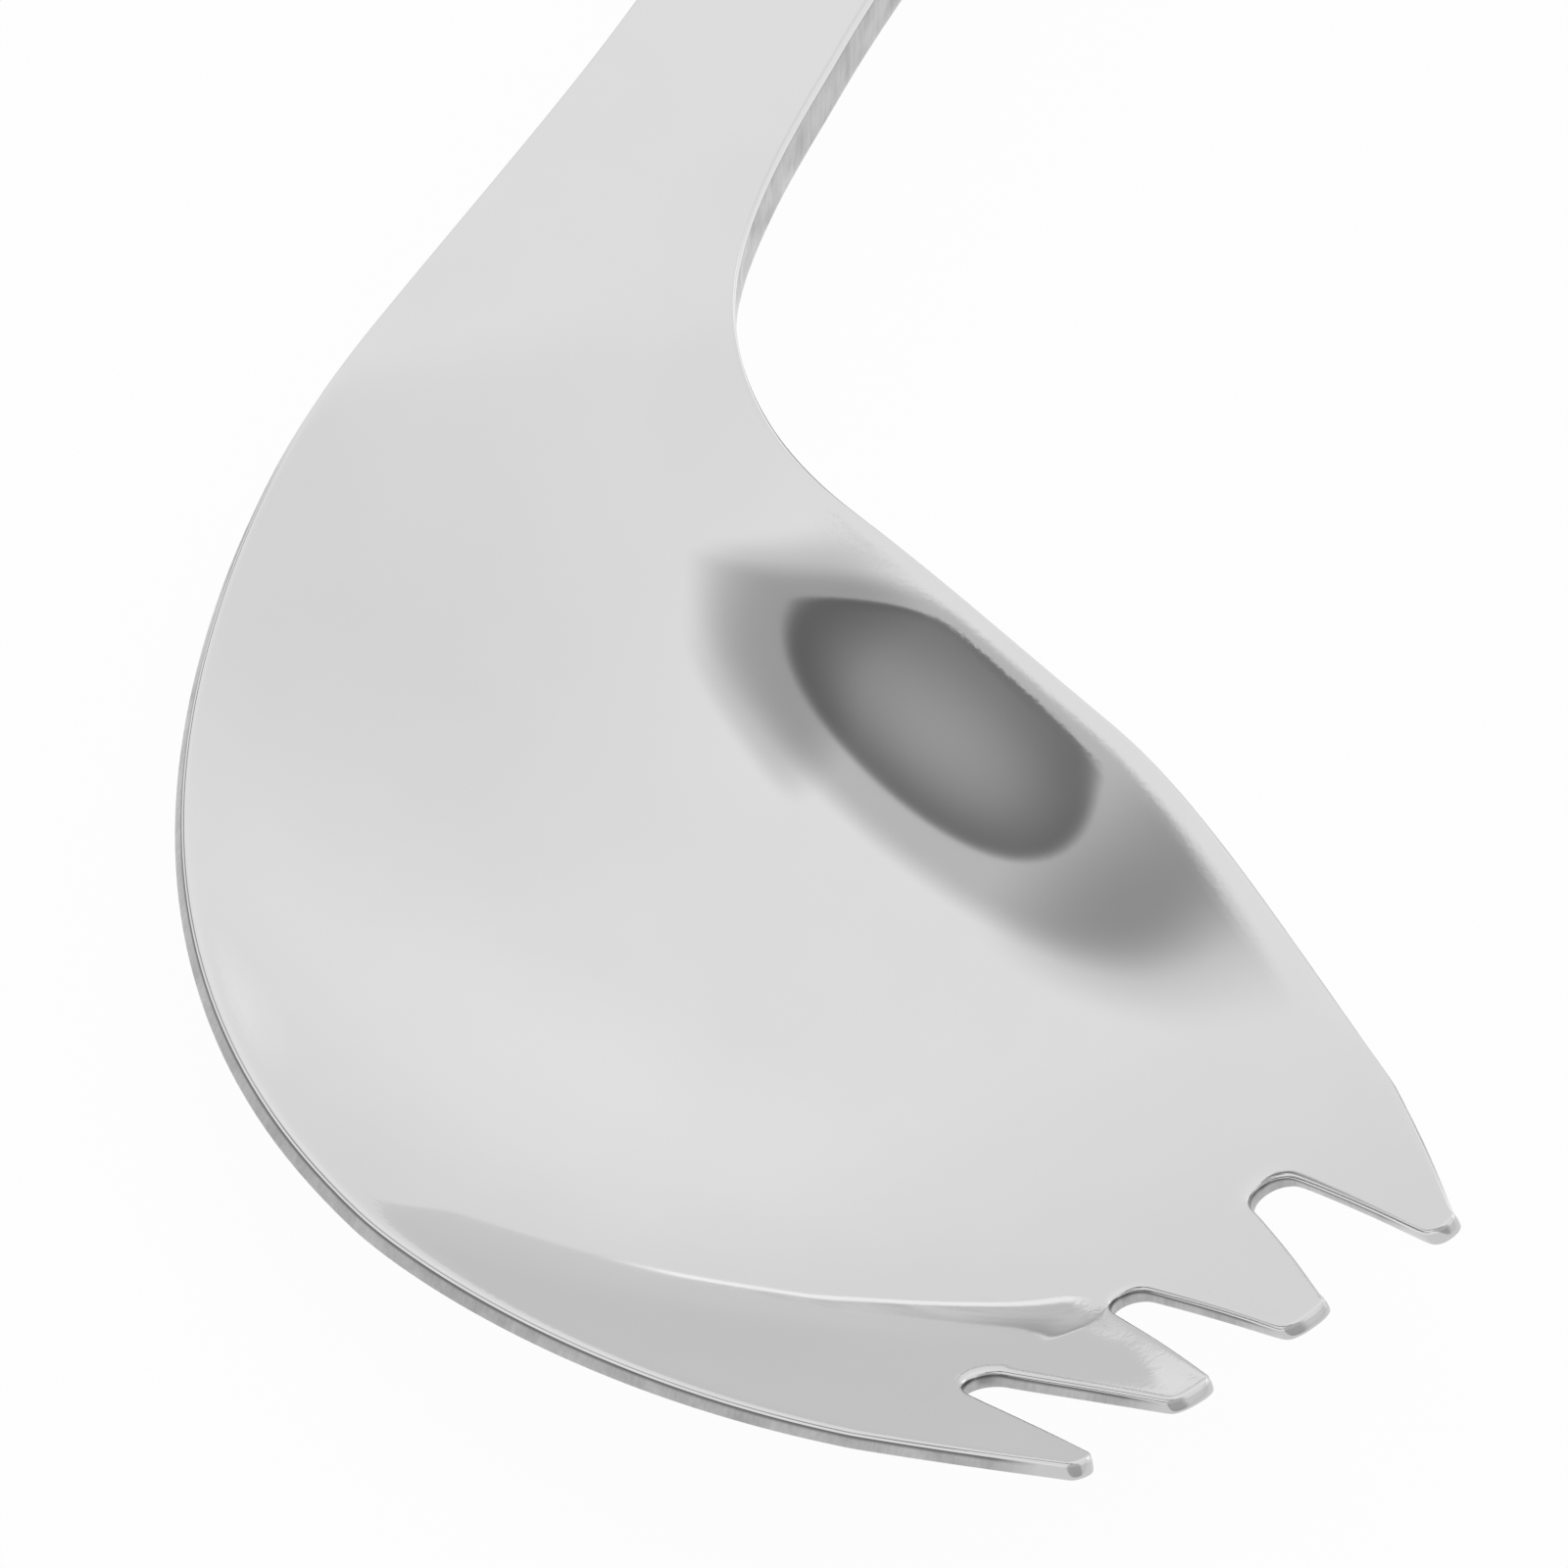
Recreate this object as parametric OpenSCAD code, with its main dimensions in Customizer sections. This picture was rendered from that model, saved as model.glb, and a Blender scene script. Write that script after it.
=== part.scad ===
// Spork with a sideways head: one sheet of stainless steel, forged to a thick neck and a thin bowl.
// The head is turned to the left of the handle. Seven zones of the one blank meet face to face.
// The origin is the lowest point of the bowl, X runs along the handle towards the head, Z is up.

/* [Head] */
// Angle from the handle's line to the line of the tines
head_turn = 64.8; // [50:0.2:75]
// Sideways distance from the handle's line to the bowl's lowest point
head_offset = 20.5; // [18:0.1:24]
// Half the widest width of the head
head_half_w = 21.2; // [18:0.1:24]
// Depth of the bowl under its side rims
bowl_depth = 6.7; // [4:0.1:9]
// Distance along the tines from the lowest point at which the bowl would reach its full depth
bowl_reach = 32.5; // [28:0.5:38]
// Rise of the rim towards neck and tips, at the bowl's reach
rim_rise = 4; // [2:0.1:6]
// Thickness of the sheet at the bowl's lowest point and behind it
bowl_t = 1.05; // [0.9:0.05:1.8]
// Thickness of the sheet at the tips, down to which it thins from the lowest point on
tip_t = 0.8; // [0.6:0.05:1]
// Depth of the flat that is polished into the underside
foot_depth = 0.15; // [0.05:0.05:0.3]

/* [Tines] */
// Distance from the lowest point to the centres of the slots' round roots
slot_u = 26.9; // [25:0.1:28.5]
// Distance from the lowest point to the tips of the inner tines
inner_tip_u = 34.9; // [33:0.1:36]
// Distance from the lowest point to the tips of the outer tines
outer_tip_u = 36; // [35:0.1:38]
// Half the head's width where the tines start
root_half_w = 14.9; // [14.5:0.1:16]
// Half the head's width across the tips
tip_half_w = 10.35; // [10.3:0.05:11.5]
// Sideways place of the outer slots at their roots
slot_root_v = 7.9; // [7.5:0.05:8.4]
// Sideways place of the outer slots at their mouths
slot_mouth_v = 6.65; // [6.2:0.05:6.75]
// Half the width of the outer slots at their roots
side_slot_r = 1.1; // [0.9:0.05:1.5]
// Half the width of the outer slots at their mouths
side_slot_mouth = 2.45; // [1.9:0.05:2.5]
// Half the width of the middle slot at its root
mid_slot_r = 0.95; // [0.8:0.05:1.3]
// Half the width of the middle slot at its mouth
mid_slot_mouth = 1.95; // [1.5:0.05:2.1]
// Sideways shift of the tips towards the outer side
tip_lean_v = 0.75; // [0:0.05:1.2]
// Radius of the corners of the tips
tip_r = 0.75; // [0.5:0.05:0.75]

/* [Neck] */
// Distance from the lowest point back to where the neck meets the handle
neck_x = 46; // [42:0.5:50]
// Half the width where the neck meets the handle
neck_half_w = 4.9; // [4:0.05:6]
// Distance back to the heel, the furthest bulge of the outer edge
heel_x = 14.6; // [12:0.2:18]
// Distance of the heel from the handle's line
heel_w = 7.5; // [6.5:0.05:9.5]
// Distance back to the end of the fillet between handle and head
crook_x = 24.4; // [22:0.2:26]
// Distance of that end from the handle's line
crook_w = 15.95; // [13:0.05:17]
// Height of the top face in the neck
neck_z = 11.7; // [9:0.1:12]
// Width of the soft shoulder between bowl and neck
blend_w = 2.5; // [1.5:0.1:4]
// Thickness of the neck along its middle
neck_t = 4; // [3:0.1:5]

/* [Handle] */
// Distance from the lowest point back to the handle's end
handle_end = 150; // [120:1:170]
// Half the widest width of the handle
handle_half_w = 10.6; // [8:0.1:13]
// Radius of the handle's end
end_r = 9.5; // [7:0.1:10]
// Distance back to the highest point of the handle
crest_x = 66; // [58:1:80]
// Height of the handle's top face at that point
crest_z = 12.6; // [11:0.1:16]
// Thickness of the handle's end
end_t = 2.3; // [1.8:0.1:3]
// Drop of the top face from its middle to its edges
crown = 0.25; // [0.1:0.05:0.4]

/* [Mesh] */
// Cells across each tine
tine_cells = 4; // [4:2:6]
// Cells across each slot's column in the bowl
slot_cells = 4; // [4:2:6]
// Rows along the handle
handle_rows = 28; // [16:1:40]
// Rows round the neck
neck_rows = 14; // [8:1:24]
// Rows from the heel to the widest line
rear_rows = 12; // [8:1:20]
// Rows from the widest line to the tines
front_rows = 13; // [8:1:20]
// Rows along the straight part of each tine
tine_rows = 4; // [3:1:8]

/* [Hidden] */
steel = "gainsboro";
cols = 4 * tine_cells + 3 * slot_cells;
block = tine_cells + slot_cells;
root_arc = 45;
arc_step = root_arc / 2;
// Share by which the bowl's walls are less steep at the rim than those of a paraboloid
flare_share = 0.12;
// Share by which the rim's band on the handle's side is less steep still
inner_flare_share = 0.27;
// Squared distance from the lowest point, as a share of the rim's, past which the walls ease off no more
flare_end_share = 3;
// Share of the thickness that the neck and handle lose from their middle to their edges
thin_share = 0.12;
// Distance over which the slope of a surface is measured
probe = bowl_t / 100;
// Slopes and places of the ramp that lifts the handle's surface clear of the head
ramp_x = 20;
ramp_slope = 0.5;
ramp_soft = 6;
// Fall of the top face from the handle's crest to the neck
neck_fall = crest_z - neck_z;
// The widest line lies in front of the lowest point by this share of half its width
wide_share = 0.08;
wide_u = wide_share * head_half_w;
root_u = slot_u - side_slot_r * cos(root_arc);

// Shares for the curves' inner control points, along and across each stretch
heel_in_shares = [0.32, 0.15];
heel_out_share = 0.71;
sweep_in_share = 0.39;
sweep_out_share = 0.715;
crook_in_share = 0.715;
crook_out_share = 0.735;
flank_in_share = 0.33;
flank_out_share = 0.24;
cheek_in_share = 0.256;
cheek_out_shares = [0.685, 0.465];
waist_share = 0.19;
waist_narrow_share = 0.2;
swell_share = 0.32;
// Direction of the crook's end, in degrees from the handle's line
crook_turn = 74.5;
// How much of the end row's bulge the rows before it take
bulge_shares = [0, 0.1, 0.3, 0.6, 1];

function lerp(a, b, t) = a + (b - a) * t;
function bez(a, b, c, d, t) =
    pow(1 - t, 3) * a + 3 * t * pow(1 - t, 2) * b + 3 * t * t * (1 - t) * c + pow(t, 3) * d;
function dir(a) = [cos(a), sin(a)];
// A point given along and across the tines, in the part's frame
function from_head(p) = p[0] * dir(head_turn) + p[1] * dir(head_turn + 90);
// A point given along and across the handle's line, in the part's frame
function from_line(p) = [p[0], p[1] - head_offset];
function mirrored(p) = [p[0], -p[1]];

// Height of the bowl's inside, and of the handle's top face, over the lowest point of the underside
function ramp(t) = (t + sqrt(t * t + ramp_soft * ramp_soft)) / 2;
function bowl_z(u, v) =
    let (
        r2 = pow(u / bowl_reach, 2) + pow(v / head_half_w, 2),
        ease = r2 / sqrt(1 + pow(r2 / flare_end_share, 2)),
        inner = pow(min(1, max(0, v / head_half_w)), 2),
        flare = flare_share * (1 - ease) + inner_flare_share * inner * (1 - r2) / (1 + pow(r2, 4))
    )
    bowl_t - foot_depth + rim_rise * pow(u / bowl_reach, 2)
    + bowl_depth * (1 + flare) * r2;
// 1 at the crest and in front of it, 0 at the handle's end
function arch(x) = (1 + cos(180 * min(1, max(0, (-crest_x - x) / (handle_end - crest_x))))) / 2;
function handle_z(x) =
    lerp(end_t, crest_z, arch(x))
    - neck_fall * pow(max(0, x + crest_x) / (crest_x - crook_x), 2)
    + ramp_slope * ramp(x + ramp_x);
function both_z(p) =
    let (h = [p * dir(head_turn), p * dir(head_turn + 90)])
    [bowl_z(h[0], h[1]), handle_z(p[0])];
function top_z(p) =
    let (z = both_z(p), d = z[0] - z[1])
    (z[0] + z[1] - sqrt(d * d + blend_w * blend_w)) / 2;
// 0 in the bowl, 1 on the handle
function handle_weight(p) =
    let (z = both_z(p), d = z[0] - z[1])
    (1 + d / sqrt(d * d + blend_w * blend_w)) / 2;
function slope(p) =
    [top_z(p + [probe, 0]) - top_z(p - [probe, 0]), top_z(p + [0, probe]) - top_z(p - [0, probe])]
    / (2 * probe);
function normal(p) = let (g = slope(p), n = [-g[0], -g[1], 1]) n / norm(n);
function head_t(p) =
    let (u = min(outer_tip_u, max(0, p * dir(head_turn))))
    lerp(tip_t, bowl_t, (1 + cos(180 * u / outer_tip_u)) / 2);
function handle_t(p, side) = lerp(end_t, neck_t, arch(p[0])) * (1 - thin_share * side * side);
function thickness(p, side) = lerp(head_t(p), handle_t(p, side), pow(handle_weight(p), 2));

// Top and bottom point over a place in plan; side runs from -1 to 1 across the blank
function top_point(p, side) = [p[0], p[1], top_z(p) - crown * handle_weight(p) * side * side];
function under_point(p, side) =
    let (q = top_point(p, side) - thickness(p, side) * normal(p))
    [q[0], q[1], max(0, q[2])];

// Outline of the neck: the outer edge to the heel, and the inner edge round the crook
neck_out = [-neck_x, -neck_half_w];
neck_in = [-neck_x, neck_half_w];
heel = [-heel_x, -heel_w];
crook = [-crook_x, crook_w];
function neck_outer(t) =
    bez(neck_out,
        [lerp(-neck_x, -heel_x, heel_in_shares[0]), -lerp(neck_half_w, heel_w, heel_in_shares[1])],
        [lerp(-neck_x, -heel_x, heel_out_share), -heel_w], heel, t);
function neck_inner(t) =
    bez(neck_in, [lerp(-neck_x, -crook_x, crook_in_share), neck_half_w],
        crook - (crook_w - neck_half_w) * crook_out_share * [1 / tan(crook_turn), 1], crook, t);

// Outline of the head: from heel and crook to the widest line, then on to the tines
wide_out = from_head([wide_u, -head_half_w]) + [0, head_offset];
wide_in = from_head([wide_u, head_half_w]) + [0, head_offset];
function rear_outer(t) =
    bez(heel, heel + [sweep_in_share * (wide_out[0] + heel_x), 0],
        wide_out - sweep_out_share * head_half_w * dir(head_turn), wide_out, t);
function rear_inner(t) =
    let (d = norm(wide_in - crook))
    bez(crook, crook + flank_in_share * d * dir(crook_turn),
        wide_in - flank_out_share * d * dir(head_turn), wide_in, t);
function front_edge(t) =
    bez([wide_u, head_half_w], [lerp(wide_u, root_u, cheek_in_share), head_half_w],
        [lerp(wide_u, root_u, cheek_out_shares[0]), lerp(root_half_w, head_half_w, cheek_out_shares[1])],
        [root_u, root_half_w], t);

// Slots, one to three from the outer side to the inner side
function lean(u) = tip_lean_v * pow(max(0, u - root_u) / (inner_tip_u - root_u), 2);
function slot_side(k) = k - 2;
function slot_r(k) = k == 2 ? mid_slot_r : side_slot_r;
function slot_mouth(k) = k == 2 ? mid_slot_mouth : side_slot_mouth;
function slot_v(k, u) =
    slot_side(k) * lerp(slot_root_v, slot_mouth_v, (u - slot_u) / (inner_tip_u - slot_u)) - lean(u);
function slot_half(k, u) = lerp(slot_r(k), slot_mouth(k), (u - slot_u) / (inner_tip_u - slot_u));
function slot_root(k, a) = [slot_u - slot_r(k) * cos(a), slot_v(k, slot_u) + slot_r(k) * sin(a)];
function flank_v(side, u) =
    side * lerp(root_half_w, tip_half_w, (u - root_u) / (outer_tip_u - root_u)) - lean(u);

// Tines, one to four from the outer side: their two walls, and their tips
function tine_tip(k) = (k == 1 || k == 4) ? outer_tip_u : inner_tip_u;
function low_wall(k, u) = k == 1 ? flank_v(-1, u) : slot_v(k - 1, u) + slot_half(k - 1, u);
function high_wall(k, u) = k == 4 ? flank_v(1, u) : slot_v(k, u) - slot_half(k, u);
function low_root(k, a) =
    let (u = slot_root(1, a)[0])
    k == 1 ? [u, flank_v(-1, u)] : slot_root(k - 1, a);
function high_root(k, a) =
    let (u = slot_root(3, a)[0])
    k == 4 ? [u, flank_v(1, u)] : slot_root(k, -a);
// Side points of a tongue with a round end: straight rows first, then two rows round each corner
function corner(wall, into, start, a, r) = [start + r * sin(a), wall + into * r * (1 - cos(a))];
function end_reach(v, half, start, r) =
    let (over = max(0, abs(v) - (half - r)))
    start + sqrt(max(0, r * r - over * over));

last = tine_rows + 4;
function tine_low(k, i) =
    let (start = tine_tip(k) - tip_r, u = lerp(slot_u, start, (i - 2) / tine_rows))
    i < 2 ? low_root(k, root_arc + i * arc_step)
    : i <= last - 2 ? [u, low_wall(k, u)]
    : corner(low_wall(k, start), 1, start, (i - last + 2) * arc_step, tip_r);
function tine_high(k, i) =
    let (start = tine_tip(k) - tip_r, u = lerp(slot_u, start, (i - 2) / tine_rows))
    i < 2 ? high_root(k, root_arc + i * arc_step)
    : i <= last - 2 ? [u, high_wall(k, u)]
    : corner(high_wall(k, start), -1, start, (i - last + 2) * arc_step, tip_r);
function tine_place(k, i, j) =
    let (
        start = tine_tip(k) - tip_r,
        half = (high_wall(k, start) - low_wall(k, start)) / 2,
        mid = (high_wall(k, start) + low_wall(k, start)) / 2,
        s = j / tine_cells,
        p = lerp(tine_low(k, i), tine_high(k, i), s),
        q = lerp(tine_low(k, last), tine_high(k, last), s),
        bulge = end_reach(q[1] - mid, half, start, tip_r) - q[0],
        near = max(0, i - last + 4)
    )
    p + [bulge * bulge_shares[near], 0];

// Front row of the bowl, column by column: tine roots and the round roots of the slots
function root_place(j) =
    let (k = floor(j / block) + 1, c = j - (k - 1) * block)
    c <= tine_cells ? tine_place(k, 0, c)
    : slot_root(k, -root_arc + (c - tine_cells) * 2 * root_arc / slot_cells);

// Rows of places in plan; each place also holds its share across, from -1 to 1
function across(j) = 2 * j / cols - 1;
function straight_row(a, b) = [for (j = [0:cols]) concat(lerp(a, b, j / cols), across(j))];
function front_row(t) =
    let (e = front_edge(t), flat_row = [for (j = [0:cols]) lerp(mirrored(e), e, j / cols)])
    [for (j = [0:cols])
        concat(from_head(flat_row[j]
            + pow(t, 3) * (root_place(j) - [root_u, lerp(-root_half_w, root_half_w, j / cols)])),
            across(j))];
function handle_edge(t) =
    bez([neck_x, neck_half_w],
        [lerp(neck_x, handle_end - end_r, waist_share), neck_half_w * (1 - waist_narrow_share)],
        [lerp(handle_end - end_r, neck_x, swell_share), handle_half_w],
        [handle_end - end_r, handle_half_w], t);
handle_last = handle_rows + 2;
function handle_side(i) =
    i <= handle_rows ? handle_edge(i / handle_rows)
    : corner(handle_half_w, -1, handle_end - end_r, (i - handle_rows) * arc_step, end_r);
function handle_row(i) =
    let (e = handle_side(i), z = handle_side(handle_last), near = max(0, i - handle_last + 4))
    [for (j = [0:cols])
        let (bulge = end_reach(z[1] * across(j), handle_half_w, handle_end - end_r, end_r) - z[0])
        concat(from_line([-e[0] - bulge * bulge_shares[near], e[1] * across(j)]), across(j))];

handle_places = [for (i = [handle_last:-1:0]) handle_row(i)];
neck_places = [for (i = [0:neck_rows])
    straight_row(from_line(neck_outer(i / neck_rows)), from_line(neck_inner(i / neck_rows)))];
bowl_places = concat(
    [for (i = [0:rear_rows - 1])
        straight_row(from_line(rear_outer(i / rear_rows)), from_line(rear_inner(i / rear_rows)))],
    [for (i = [0:front_rows]) front_row(i / front_rows)]);
function tine_places(k) = [for (i = [0:last])
    [for (j = [0:tine_cells])
        concat(from_head(tine_place(k, i, j)), across((k - 1) * block + j))]];

// A closed solid from a grid of places: top face, bottom face and the four walls
module sheet(places) {
    rows = len(places) - 1;
    n = len(places[0]);
    m = (rows + 1) * n;
    points = concat(
        [for (row = places) for (p = row) top_point([p[0], p[1]], p[2])],
        [for (row = places) for (p = row) under_point([p[0], p[1]], p[2])]);
    faces = concat(
        [for (i = [0:rows - 1]) for (j = [0:n - 2]) let (a = i * n + j) each [
            [a, a + 1, a + n + 1], [a, a + n + 1, a + n],
            [a + m, a + m + n + 1, a + m + 1], [a + m, a + m + n, a + m + n + 1]]],
        [for (i = [0:rows - 1]) let (a = i * n, b = a + n - 1) each [
            [a, a + n, a + n + m], [a, a + n + m, a + m],
            [b + n, b, b + m], [b + n, b + m, b + n + m]]],
        [for (j = [0:n - 2]) let (a = j, b = rows * n + j) each [
            [a + 1, a, a + 1 + m], [a, a + m, a + 1 + m],
            [b, b + 1, b + 1 + m], [b, b + 1 + m, b + m]]]);
    polyhedron(points, faces, convexity = 6);
}

module handle() { color(steel) sheet(handle_places); }
module neck() { color(steel) sheet(neck_places); }
module bowl() { color(steel) sheet(bowl_places); }
module tine(k) { color(steel) sheet(tine_places(k)); }

handle();
neck();
bowl();
tine(1);  // tine_1
tine(2);  // tine_2
tine(3);  // tine_3
tine(4);  // tine_4
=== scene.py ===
"""Looks of a mirror-polished stainless steel spork, one forged and pressed blank, on a table in a white tent."""

import math

import bmesh
import bpy
from mathutils import Euler, Matrix, Vector, kdtree


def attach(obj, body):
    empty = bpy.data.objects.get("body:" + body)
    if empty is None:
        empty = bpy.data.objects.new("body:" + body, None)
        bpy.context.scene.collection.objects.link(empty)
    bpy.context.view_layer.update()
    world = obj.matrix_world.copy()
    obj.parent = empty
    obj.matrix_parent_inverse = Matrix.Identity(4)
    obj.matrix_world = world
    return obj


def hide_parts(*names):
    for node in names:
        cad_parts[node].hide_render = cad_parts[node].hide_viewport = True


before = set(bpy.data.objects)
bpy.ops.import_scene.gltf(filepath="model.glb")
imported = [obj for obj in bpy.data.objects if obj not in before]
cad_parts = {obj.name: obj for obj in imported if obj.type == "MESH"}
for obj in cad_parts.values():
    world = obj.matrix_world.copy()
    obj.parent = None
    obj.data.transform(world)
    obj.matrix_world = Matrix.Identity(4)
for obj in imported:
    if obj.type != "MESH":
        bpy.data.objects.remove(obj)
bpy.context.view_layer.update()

MM = 0.001

# The head's own directions on the table: along it towards the tines, and across it to the handle's side
head_turn = math.radians(64.8)
head_way = Vector((math.cos(head_turn), math.sin(head_turn), 0))
inner_side = Vector((-math.sin(head_turn), math.cos(head_turn), 0))


def linear(hex_colour):
    """The linear colour of an sRGB hex value such as "D9D9D9"."""
    shares = [int(hex_colour[i : i + 2], 16) / 255 for i in (0, 2, 4)]
    return [s / 12.92 if s <= 0.04045 else ((s + 0.055) / 1.055) ** 2.4 for s in shares] + [1]


def add_node(tree, kind, settings=None, links=None, **fields):
    """Adds one shader node. Settings go to its inputs, links join its inputs to other nodes' outputs."""
    node = tree.nodes.new(kind)
    for name, value in fields.items():
        setattr(node, name, value)
    for name, value in (settings or {}).items():
        node.inputs[name].default_value = value
    for name, output in (links or {}).items():
        tree.links.new(output, node.inputs[name])
    return node


def only(obj):
    """Selects this object alone and makes it active."""
    bpy.ops.object.select_all(action="DESELECT")
    obj.select_set(True)
    bpy.context.view_layer.objects.active = obj


# Half a metre from the bowl, from the tines' side, looking 48 degrees down along the head.
eye = Vector((292.52, 137.54, 382.69)) * MM
aim = Vector((-8.60, -0.78, 8.26)) * MM
bpy.ops.object.camera_add(location=eye)
camera = bpy.context.object
camera.name = "camera"
camera.rotation_mode = "QUATERNION"
camera.rotation_quaternion = (aim - eye).to_track_quat("-Z", "Y")
camera.data.sensor_width = 36
camera.data.lens = 265.5
camera.data.clip_start = 0.01
camera.data.clip_end = 20
bpy.context.scene.camera = camera


def polished_steel():
    """18/10 stainless steel, drop forged and mirror polished on felt wheels. The eye sees the room in it, a
    little hazy in the band along the rims, where the wheel runs off, and a few fine pits."""
    material = bpy.data.materials.new("stainless_steel_mirror_polished")
    material.use_nodes = True
    tree = material.node_tree
    shader = tree.nodes["Principled BSDF"]
    shader.inputs["Metallic"].default_value = 1
    place = add_node(tree, "ShaderNodeTexCoord").outputs["Object"]
    gap = add_node(tree, "ShaderNodeAttribute", attribute_name="rim_gap").outputs["Fac"]
    band = add_node(
        tree, "ShaderNodeMapRange", {"From Min": 0.3, "From Max": 1.9, "To Min": 1, "To Max": 0},
        {"Value": gap},
    ).outputs["Result"]

    # Felt-wheel haze in patches of about 7 mm
    haze = add_node(tree, "ShaderNodeTexNoise", {"Scale": 1 / (7 * MM), "Detail": 3}, {"Vector": place})
    low = add_node(
        tree, "ShaderNodeMapRange", {"From Min": 0.35, "From Max": 0.65, "To Min": 0.025, "To Max": 0.04},
        {"Value": haze.outputs["Fac"]},
    )
    rough = add_node(
        tree, "ShaderNodeMath", {1: 0.05}, {0: band, 2: low.outputs["Result"]}, operation="MULTIPLY_ADD"
    )
    tree.links.new(rough.outputs["Value"], shader.inputs["Roughness"])

    # Pits of about 0.1 mm, one to ten square centimetres, on steel slightly lighter in the 7 mm patches
    cells = add_node(tree, "ShaderNodeTexVoronoi", {"Scale": 1 / (2.6 * MM)}, {"Vector": place})
    rare = add_node(
        tree, "ShaderNodeMath", {1: 0.9}, {0: cells.outputs["Color"]}, operation="GREATER_THAN"
    )
    hollow = add_node(
        tree, "ShaderNodeMapRange", {"From Min": 0.012, "From Max": 0.03, "To Min": 1, "To Max": 0},
        {"Value": cells.outputs["Distance"]},
    )
    pit = add_node(
        tree, "ShaderNodeMath", None, {0: rare.outputs["Value"], 1: hollow.outputs["Result"]},
        operation="MULTIPLY",
    )
    film = add_node(
        tree, "ShaderNodeMix", {"A": linear("D8D8D8"), "B": linear("DDDDDD")}, {"Factor": haze.outputs["Fac"]},
        data_type="RGBA",
    )
    colour = add_node(
        tree, "ShaderNodeMix", {"B": linear("77777A")}, {"Factor": pit.outputs["Value"], "A": film.outputs[2]},
        data_type="RGBA",
    )
    tree.links.new(colour.outputs[2], shader.inputs["Base Color"])

    # Polishing lines 0.25 mm wide and some millimetres long, drawn coarser than the real 0.01 mm ones, and a
    # grain of 0.35 mm in the band along the rims
    lines = add_node(
        tree, "ShaderNodeMapping", {"Rotation": (0, 0, math.radians(-25)), "Scale": (1 / 8, 3, 1)},
        {"Vector": place},
    )
    line_height = add_node(
        tree, "ShaderNodeTexNoise", {"Scale": 1 / (0.75 * MM), "Detail": 2},
        {"Vector": lines.outputs["Vector"]},
    )
    grain = add_node(tree, "ShaderNodeTexNoise", {"Scale": 1 / (0.35 * MM), "Detail": 3}, {"Vector": place})
    polish = add_node(
        tree, "ShaderNodeBump", {"Strength": 1, "Distance": 0.0001 * MM},
        {"Height": line_height.outputs["Fac"]},
    )
    rim_grain = add_node(
        tree, "ShaderNodeBump", {"Distance": 0.004 * MM},
        {"Strength": band, "Height": grain.outputs["Fac"], "Normal": polish.outputs["Normal"]},
    )
    tree.links.new(rim_grain.outputs["Normal"], shader.inputs["Normal"])
    return material


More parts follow.
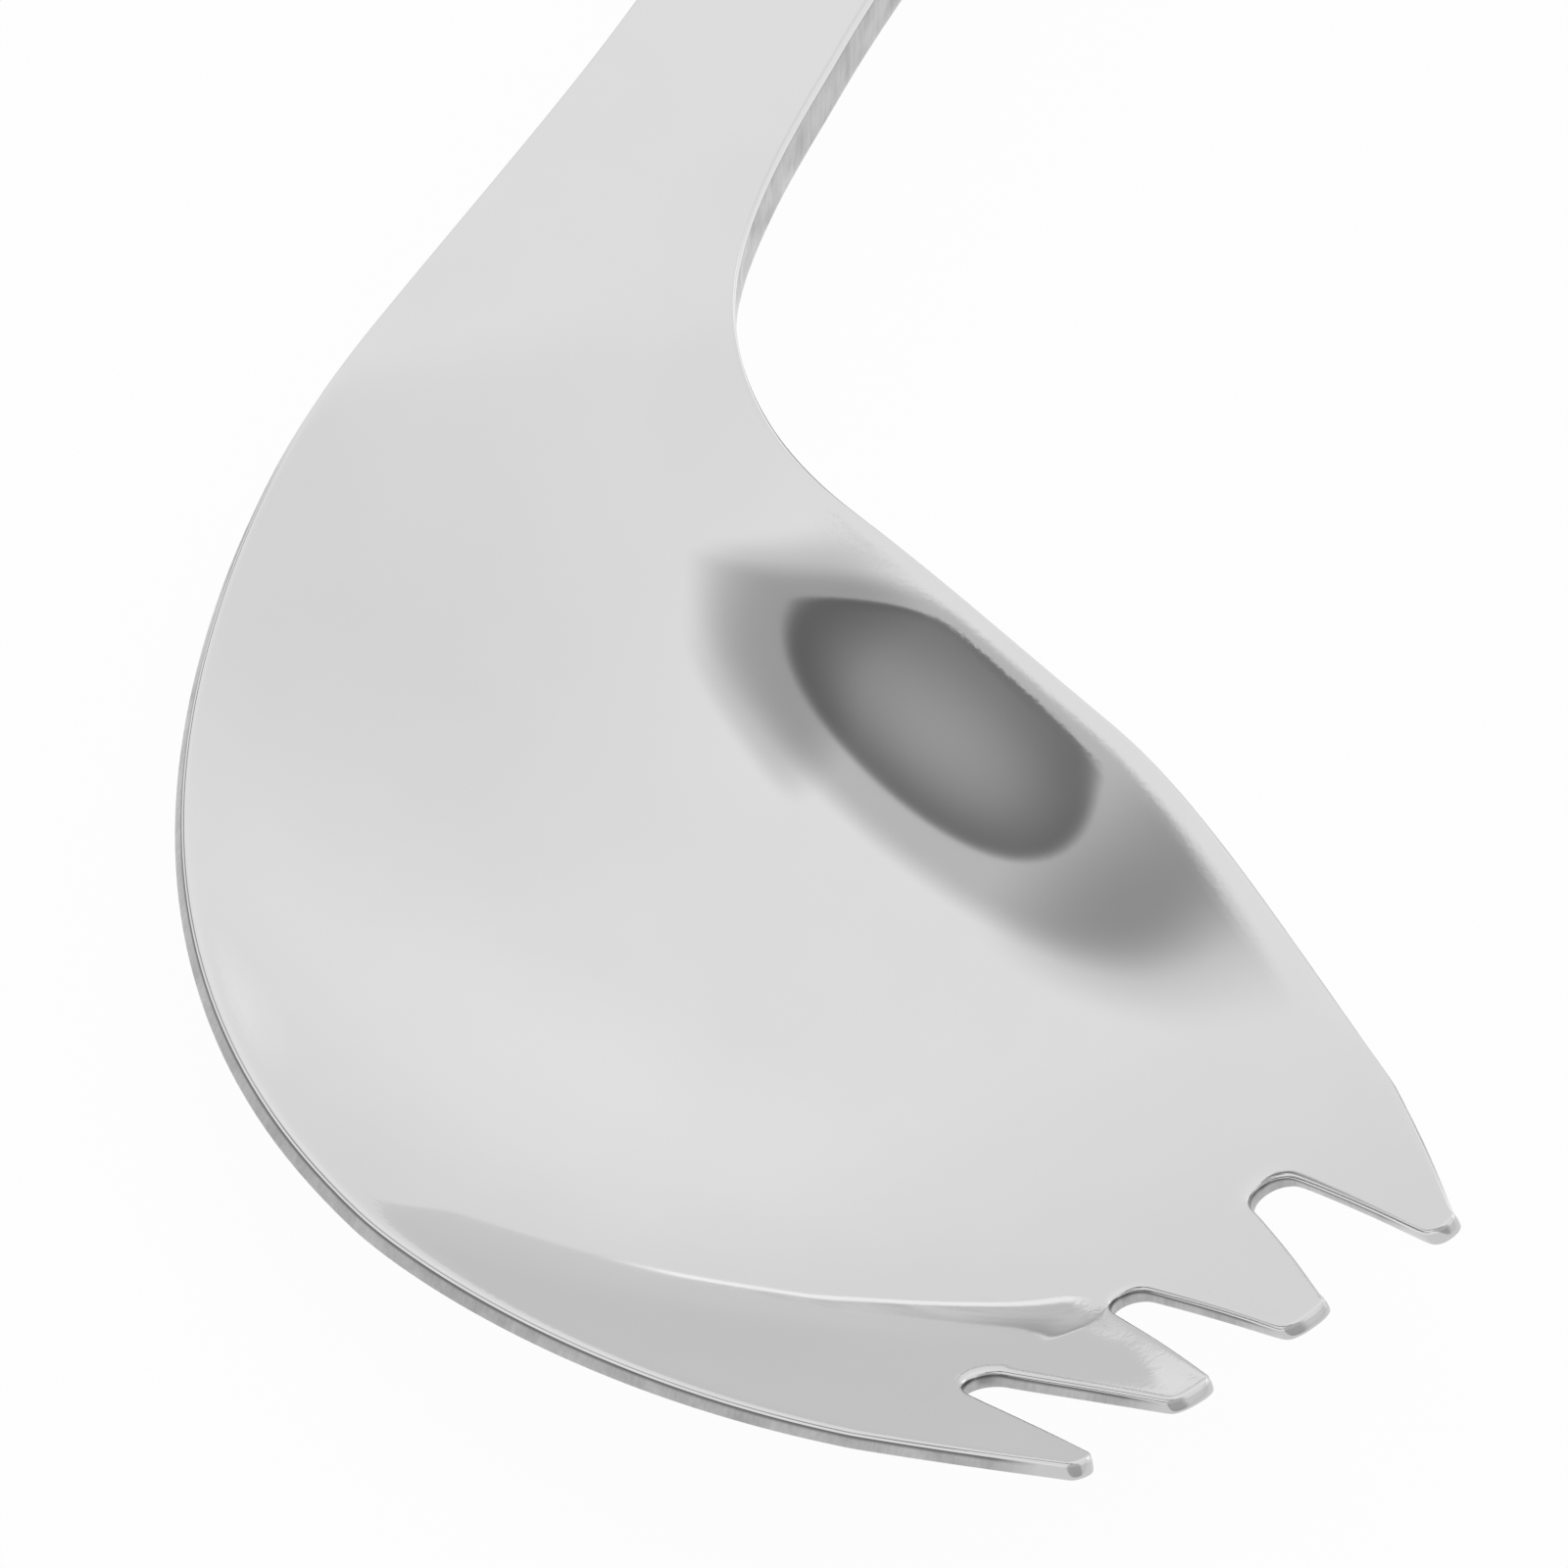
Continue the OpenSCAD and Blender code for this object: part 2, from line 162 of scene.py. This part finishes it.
def tumbled_steel():
    """The same steel on the blank's cut edges, sheared and then tumbled in stones: a satin grey, softer than the
    faces and darker, partly as painted shade of the table near the spork that the walls reflect, with drag marks
    through the thickness of the sheet and a thin painted dark line under the rim, standing for the dark
    reflection in the rim's rounding. The tines' tips have a smoother finish over their last 2 mm, so that they
    don't scratch the lips, and a lighter colour there, which is a painted highlight."""
    material = bpy.data.materials.new("stainless_steel_tumbled_edge")
    material.use_nodes = True
    tree = material.node_tree
    shader = tree.nodes["Principled BSDF"]
    shader.inputs["Metallic"].default_value = 1
    place = add_node(tree, "ShaderNodeTexCoord").outputs["Object"]

    # Drag marks 0.22 mm wide and 2.2 mm tall, drawn coarser than the real 0.05 mm ones, and stains of 2.2 mm
    marks = add_node(tree, "ShaderNodeMapping", {"Scale": (1, 1, 0.1)}, {"Vector": place})
    drag = add_node(
        tree, "ShaderNodeTexNoise", {"Scale": 1 / (0.22 * MM), "Detail": 3},
        {"Vector": marks.outputs["Vector"]},
    )
    stain = add_node(tree, "ShaderNodeTexNoise", {"Scale": 1 / (2.2 * MM), "Detail": 4}, {"Vector": place})
    mottle = add_node(
        tree, "ShaderNodeMix", {"Factor": 0.65}, {"A": drag.outputs["Fac"], "B": stain.outputs["Fac"]},
    )
    share = add_node(
        tree, "ShaderNodeMapRange", {"From Min": 0.36, "From Max": 0.62}, {"Value": mottle.outputs["Result"]}
    )
    # The grey is darker than the faces' steel, partly for the satin finish and partly as painted shade of the
    # shadowed table that the walls reflect
    grey = add_node(
        tree, "ShaderNodeMix", {"A": linear("A6A6A6"), "B": linear("BABABA")},
        {"Factor": share.outputs["Result"]}, data_type="RGBA",
    )

    # A painted dark line 0.1 mm wide under the top rim, standing for the dark reflection in the rim's rounding,
    # most round the bowl and in the slots
    along = add_node(
        tree, "ShaderNodeVectorMath", {1: head_way}, {0: place}, operation="DOT_PRODUCT"
    ).outputs["Value"]
    gap = add_node(tree, "ShaderNodeAttribute", attribute_name="rim_gap").outputs["Fac"]
    thin = add_node(
        tree, "ShaderNodeMapRange", {"From Min": 0.06, "From Max": 0.18, "To Min": 1, "To Max": 0},
        {"Value": gap},
    )
    front = add_node(
        tree, "ShaderNodeMapRange", {"From Min": -26 * MM, "From Max": -16 * MM, "To Min": 0.35},
        {"Value": along},
    )
    line = add_node(
        tree, "ShaderNodeMath", None, {0: thin.outputs["Result"], 1: front.outputs["Result"]},
        operation="MULTIPLY",
    )
    with_painted_dark_line = add_node(
        tree, "ShaderNodeMix", {"B": linear("727272")},
        {"Factor": line.outputs["Value"], "A": grey.outputs[2]}, data_type="RGBA",
    )

    # Over the tips' last 2 mm the finish is smoother, and the colour is lighter as a painted highlight
    tip_buff_and_highlight = add_node(
        tree, "ShaderNodeMapRange", {"From Min": 32.5 * MM, "From Max": 34.5 * MM}, {"Value": along}
    ).outputs["Result"]
    colour = add_node(
        tree, "ShaderNodeMix", {"B": linear("C8C8C8")}, {"Factor": tip_buff_and_highlight, "A": with_painted_dark_line.outputs[2]},
        data_type="RGBA",
    )
    tree.links.new(colour.outputs[2], shader.inputs["Base Color"])
    satin = add_node(
        tree, "ShaderNodeMapRange", {"To Min": 0.34, "To Max": 0.2}, {"Value": share.outputs["Result"]}
    )
    rough = add_node(tree, "ShaderNodeMix", {"B": 0.14}, {"Factor": tip_buff_and_highlight, "A": satin.outputs["Result"]})
    tree.links.new(rough.outputs["Result"], shader.inputs["Roughness"])
    bump = add_node(
        tree, "ShaderNodeBump", {"Strength": 1, "Distance": 0.003 * MM}, {"Height": drag.outputs["Fac"]}
    )
    tree.links.new(bump.outputs["Normal"], shader.inputs["Normal"])
    return material


# How the zones are merged: places closer than this are one, an edge bent by more than the wall's angle ends a
# face, and only the top and the under face have so many cells
same_place = 0.004 * MM
wall_angle = math.radians(50)
wide_face = 1000
quad_bend = math.radians(60)
quad_skew = math.radians(80)
TOP, WALL, UNDER = 0, 1, 2

# The rims' break, and the run-off of the polishing wheel: its width on the outer side and on the handle's
# side, the slope at the rim, the depth of wall that follows the rim down, and how far across the head it widens
edge_round = 0.09 * MM
run_off_narrow_w = 0.4 * MM
run_off_wide_w = 1.53 * MM
run_off_slope = 0.047
follow_h = 0.85 * MM
inner_half_w = 12 * MM

# It is wider still round the crook, and is narrow again on the neck, which begins at the head's radius
crook = Vector((-23.9, -10.3, 9)) * MM
crook_extra_w = 6 * MM
crook_reach = 13 * MM
head_r = 40 * MM
fade_w = 8 * MM

# The two inner tines curl down over their last millimetres
inner_tines_half_w = 7 * MM
curl_from = 29.5 * MM
curl = 0.0052 / MM


def cell_diagonals(mesh):
    """Marks the top and the under face, and gives the edges that cut their cells in two. One squarish cell
    shows which edge is its diagonal, and its neighbours follow, because a face's cells are all cut one way."""
    grid = bmesh.new()
    grid.from_mesh(mesh)
    grid.faces.ensure_lookup_table()

    def skewness(face):
        """How far a triangle is from half a square."""
        a, b, c = sorted(edge.calc_length() for edge in face.edges)
        return abs(math.log(b / a)) + abs(1 - (a * a + b * b) / (c * c))

    diagonals = []
    left = set(grid.faces)
    for seed in sorted(grid.faces, key=skewness):
        if seed not in left:
            continue
        left.remove(seed)
        found = [(seed, max(seed.loops, key=lambda loop: loop.edge.calc_length()))]
        for face, cut in found:
            for loop in face.loops:
                turn = loop.link_loop_radial_next
                across = turn.face
                if across not in left or loop.edge.calc_face_angle() > wall_angle:
                    continue
                left.remove(across)
                if loop is cut:
                    found.append((across, turn))
                elif loop.link_loop_next is cut:
                    found.append((across, turn.link_loop_next))
                else:
                    found.append((across, turn.link_loop_prev))
        if len(found) > wide_face:
            diagonals += {cut.edge.index for face, cut in found}
            side = TOP if seed.normal.z > 0 else UNDER
            for face, cut in found:
                mesh.polygons[face.index].material_index = side
    grid.free()
    return diagonals


def steel_blank():
    """One continuous blank from the seven zones, without their shared faces, in four-sided cells. Its top
    face, walls and under face have a slot each."""
    bpy.ops.object.select_all(action="DESELECT")
    copies = []
    for name in ("handle", "neck", "bowl", "tine_1", "tine_2", "tine_3", "tine_4"):
        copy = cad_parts[name].copy()
        copy.data = copy.data.copy()
        copy.parent = None
        # The copies leave behind what marks their originals as nodes
        for key in list(copy.keys()):
            del copy[key]
        bpy.context.scene.collection.objects.link(copy)
        copies.append(copy)
    only(copies[0])
    for copy in copies:
        copy.select_set(True)
    bpy.ops.object.join()
    blank = bpy.context.object
    blank.name = "blank"
    mesh = blank.data
    bpy.ops.object.mode_set(mode="EDIT")
    bpy.ops.mesh.select_mode(type="FACE")
    bpy.ops.mesh.select_all(action="DESELECT")
    bpy.ops.object.mode_set(mode="OBJECT")
    centres = kdtree.KDTree(len(mesh.polygons))
    for face in mesh.polygons:
        centres.insert(face.center, face.index)
    centres.balance()
    for face in mesh.polygons:
        face.select = len(centres.find_range(face.center, same_place)) > 1
    bpy.ops.object.mode_set(mode="EDIT")
    bpy.ops.mesh.delete(type="FACE")
    bpy.ops.mesh.select_all(action="SELECT")
    bpy.ops.mesh.remove_doubles(threshold=same_place)
    bpy.ops.mesh.select_mode(type="EDGE")
    bpy.ops.mesh.select_all(action="DESELECT")
    bpy.ops.object.mode_set(mode="OBJECT")
    mesh.materials.clear()
    polished = polished_steel()
    for finish in (polished, tumbled_steel(), polished):
        mesh.materials.append(finish)
    for face in mesh.polygons:
        face.material_index = WALL
    for index in cell_diagonals(mesh):
        mesh.edges[index].select = True
    bpy.ops.object.mode_set(mode="EDIT")
    bpy.ops.mesh.dissolve_edges(use_verts=False)
    bpy.ops.mesh.select_all(action="SELECT")
    bpy.ops.mesh.tris_convert_to_quads(face_threshold=quad_bend, shape_threshold=quad_skew)
    bpy.ops.object.mode_set(mode="OBJECT")
    return blank


def rim_edges(mesh, side):
    """The edges between one of the wide faces and the walls."""
    sides = {}
    for face in mesh.polygons:
        for key in face.edge_keys:
            sides.setdefault(key, set()).add(face.material_index)
    return [edge.index for edge in mesh.edges if sides[edge.key] == {side, WALL}]


def break_edges(blank):
    """Breaks every rim with a narrow bevel, and rounds it with the rest of the blank."""
    for side in (TOP, UNDER):
        bpy.ops.object.mode_set(mode="EDIT")
        bpy.ops.mesh.select_all(action="DESELECT")
        bpy.ops.object.mode_set(mode="OBJECT")
        for index in rim_edges(blank.data, side):
            blank.data.edges[index].select = True
        bpy.ops.object.mode_set(mode="EDIT")
        finish = TOP if side == TOP else WALL
        bpy.ops.mesh.bevel(offset=edge_round, segments=1, affect="EDGES", material=finish)
        bpy.ops.object.mode_set(mode="OBJECT")
    bpy.ops.object.shade_smooth()
    smooth = blank.modifiers.new("smooth", "SUBSURF")
    smooth.levels = 2
    smooth.render_levels = 2
    bpy.ops.object.modifier_apply(modifier=smooth.name)


def rim_gaps(mesh, side, part):
    """The distance from the rim of one wide face, for each corner of the faces of a part of the mesh."""
    neighbours = {}
    for index in rim_edges(mesh, side):
        a, b = mesh.edges[index].vertices
        neighbours.setdefault(a, []).append(b)
        neighbours.setdefault(b, []).append(a)
    rim_places = kdtree.KDTree(len(neighbours))
    for index in neighbours:
        rim_places.insert(mesh.vertices[index].co, index)
    rim_places.balance()
    gaps = {}
    for index in {v for face in mesh.polygons if face.material_index == part for v in face.vertices}:
        place = mesh.vertices[index].co
        foot, rim, gap = rim_places.find(place)
        for other in neighbours[rim]:
            along = mesh.vertices[other].co - foot
            share = min(1, max(0, (place - foot).dot(along) / along.length_squared))
            gap = min(gap, (place - foot - share * along).length)
        gaps[index] = gap
    return gaps


def run_off(blank):
    """Lowers the top face a little towards its rim, where the polishing wheel runs over the edge, the most in
    the crook, less along the handle's side and the least elsewhere, and curls the inner tines down. The wall
    follows the rim. Keeps each place's distance from its rim, in millimetres, for the finishes."""
    mesh = blank.data
    rim_gap = mesh.attributes.new("rim_gap", "FLOAT", "POINT")
    top, wall = rim_gaps(mesh, TOP, TOP), rim_gaps(mesh, TOP, WALL)
    for gaps in (wall, rim_gaps(mesh, UNDER, UNDER), top):
        for index, gap in gaps.items():
            rim_gap.data[index].value = gap / MM
    for index, gap in {**wall, **top}.items():
        follow = 1
        if index not in top:
            follow = max(0, 1 - gap / follow_h) ** 2
            gap = 0
        place = mesh.vertices[index].co
        share = min(1, max(0, place.dot(inner_side) / inner_half_w))
        share *= min(1, max(0, (head_r - place.length) / fade_w))
        at_crook = max(0, 1 - (place - crook).length / crook_reach)
        at_crook *= at_crook * (3 - 2 * at_crook)
        width = run_off_narrow_w + share * (run_off_wide_w - run_off_narrow_w + at_crook * crook_extra_w)
        drop = run_off_slope * width * max(0, 1 - gap / width) ** 2
        if abs(place.dot(inner_side)) < inner_tines_half_w:
            drop += curl * max(0, place.dot(head_way) - curl_from) ** 2
        mesh.vertices[index].co.z -= follow * drop
    for face in mesh.polygons:
        if face.material_index == UNDER:
            face.material_index = TOP
    mesh.materials.pop(index=UNDER)


blank = steel_blank()
break_edges(blank)
run_off(blank)
blank.name = "polished_blank"
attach(blank, "root")
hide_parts("handle", "neck", "bowl", "tine_1", "tine_2", "tine_3", "tine_4")

# A table of white laminate, pressed melamine paper, matt and even. It shows as almost white, and keeps a faint
# shadow of the spork. Its size is in metres, out past the picture's edges from every side.
table_size = 6
white_share = 0.95
bpy.ops.mesh.primitive_plane_add(size=table_size, location=(0, 0, 0))
table = bpy.context.object
table.name = "table"
laminate = bpy.data.materials.new("table_white_laminate")
laminate.use_nodes = True
tree = laminate.node_tree
laminate_shader = tree.nodes["Principled BSDF"]
laminate_shader.inputs["Base Color"].default_value = linear("FCFCFC")
laminate_shader.inputs["Roughness"].default_value = 0.9
rays = add_node(tree, "ShaderNodeLightPath").outputs
seen = add_node(
    tree, "ShaderNodeMath", None, {0: rays["Is Camera Ray"], 1: rays["Is Glossy Ray"]}, operation="MAXIMUM"
)
seen = add_node(
    tree, "ShaderNodeMath", None, {0: seen.outputs["Value"], 1: rays["Is Transmission Ray"]},
    operation="MAXIMUM",
)
seen = add_node(tree, "ShaderNodeMath", {1: white_share}, {0: seen.outputs["Value"]}, operation="MULTIPLY")
white = add_node(tree, "ShaderNodeEmission", {"Color": linear("FFFFFF"), "Strength": 1})
mixed = add_node(
    tree, "ShaderNodeMixShader", None,
    {0: seen.outputs["Value"], 1: laminate_shader.outputs["BSDF"], 2: white.outputs["Emission"]},
)
tree.links.new(mixed.outputs["Shader"], tree.nodes["Material Output"].inputs["Surface"])
table.data.materials.append(laminate)

# The tent: white cloth, a little dimmer towards the table and on the right, with the dim room on the
# photographer's side, a lamp behind the cloth low on the far side, and a black card in a grey opening high on
# the left. Places in it are directions, given as points on a globe of radius 1.
tent = bpy.data.worlds.new("white_tent")
tent.use_nodes = True
bpy.context.scene.world = tent
tree = tent.node_tree
way = add_node(tree, "ShaderNodeTexCoord").outputs["Generated"]
opening_turn = Euler([math.radians(angle) for angle in (-15.45, 24.91, -107.66)]).to_matrix()


def cloth(towards, stops):
    """The light of a round part of the tent, by the cosine of the angle from its middle."""
    near = add_node(
        tree, "ShaderNodeVectorMath", {1: Vector(towards).normalized()}, {0: way}, operation="DOT_PRODUCT"
    )
    return ramp(near.outputs["Value"], stops)


def card(across, up, turn, half_w, half_h, stops):
    """The light of a card with soft corners, by the fourth-power distance from its middle, 1 at its border."""
    middle = opening_turn @ Vector((across, up, math.sqrt(1 - across**2 - up**2)))
    turned = (opening_turn @ Matrix.Rotation(math.radians(turn), 3, "Z")).to_euler()
    flat = add_node(
        tree, "ShaderNodeMapping", {"Location": middle, "Rotation": turned, "Scale": (half_w, half_h, 1)},
        {"Vector": way}, vector_type="TEXTURE",
    )
    square = add_node(
        tree, "ShaderNodeVectorMath", None, {0: flat.outputs["Vector"], 1: flat.outputs["Vector"]},
        operation="MULTIPLY",
    )
    far = add_node(tree, "ShaderNodeVectorMath", None, {0: square.outputs["Vector"]}, operation="LENGTH")
    return ramp(far.outputs["Value"], stops)


def ramp(value, stops):
    """The light at a value, eased between stops, each a value and its light. Values are halved, because they go
    up to 2 and a ramp's places end at 1."""
    half = add_node(tree, "ShaderNodeMath", {1: 0.5}, {0: value}, operation="MULTIPLY")
    shades = add_node(tree, "ShaderNodeValToRGB", None, {"Fac": half.outputs["Value"]})
    shades.color_ramp.interpolation = "EASE"
    steps = shades.color_ramp.elements
    while len(steps) < len(stops):
        steps.new(1)
    for step, (position, light) in zip(steps, stops):
        step.position = position / 2
        step.color = (light, light, light, 1)
    return shades.outputs["Color"]


def both(first, second, operation):
    """Two lights multiplied, or the lower of the two."""
    node = add_node(tree, "ShaderNodeMath", None, {0: first, 1: second}, operation=operation)
    return node.outputs["Value"]


# The whole tent's light, then its round parts with what each leaves or adds, then the cards
tent_gain = 1.05
gradient = cloth((-0.861, -0.169, 0.480), [(0.2, 0.984), (0.7, 0.96), (0.9, 0.964), (1, 1)])
horizon = cloth((0, 0, 1), [(0, 0.901), (0.646, 1)])
shade = cloth((0.204, 0.879, 0.431), [(0.2, 1), (0.702, 0.926)])
room = cloth((0.864, 0.397, 0.309), [(0.5, 1), (0.82, 0.6)])
lamp = cloth((-0.93, 0.36, 0.07), [(0.93, 1), (0.985, 1.8)])
opening = card(0.19, -0.066, -10, 0.7, 0.1, [(0.415, 0.642), (1.438, 1)])
dim_right = card(0.586, -0.074, -11.4, 0.38, 0.235, [(0.04, 0.446), (1, 1)])
dim_left = card(-0.261, -0.057, -16.6, 0.163, 0.095, [(0.04, 0.687), (1, 1)])
black_card = card(-0.025, 0.2, -9.5, 0.488, 0.252, [(0.45, 0.571), (0.98, 0.212), (1.0, 0.23), (1.14, 1)])
card_light = both(both(opening, black_card, "MINIMUM"), both(dim_left, dim_right, "MULTIPLY"), "MULTIPLY")
light = both(both(gradient, shade, "MULTIPLY"), both(horizon, room, "MULTIPLY"), "MULTIPLY")
light = both(both(light, lamp, "MULTIPLY"), card_light, "MULTIPLY")
tent_light = tree.nodes["Background"]
tree.links.new(light, tent_light.inputs["Color"])
tent_light.inputs["Strength"].default_value = tent_gain
plain = add_node(tree, "ShaderNodeBackground", {"Color": linear("FFFFFF"), "Strength": 1})
rays = add_node(tree, "ShaderNodeLightPath").outputs
shown = add_node(
    tree, "ShaderNodeMixShader", None,
    {0: rays["Is Camera Ray"], 1: tent_light.outputs["Background"], 2: plain.outputs["Background"]},
)
tree.links.new(shown.outputs["Shader"], tree.nodes["World Output"].inputs["Surface"])

bpy.context.scene.view_settings.view_transform = "Standard"
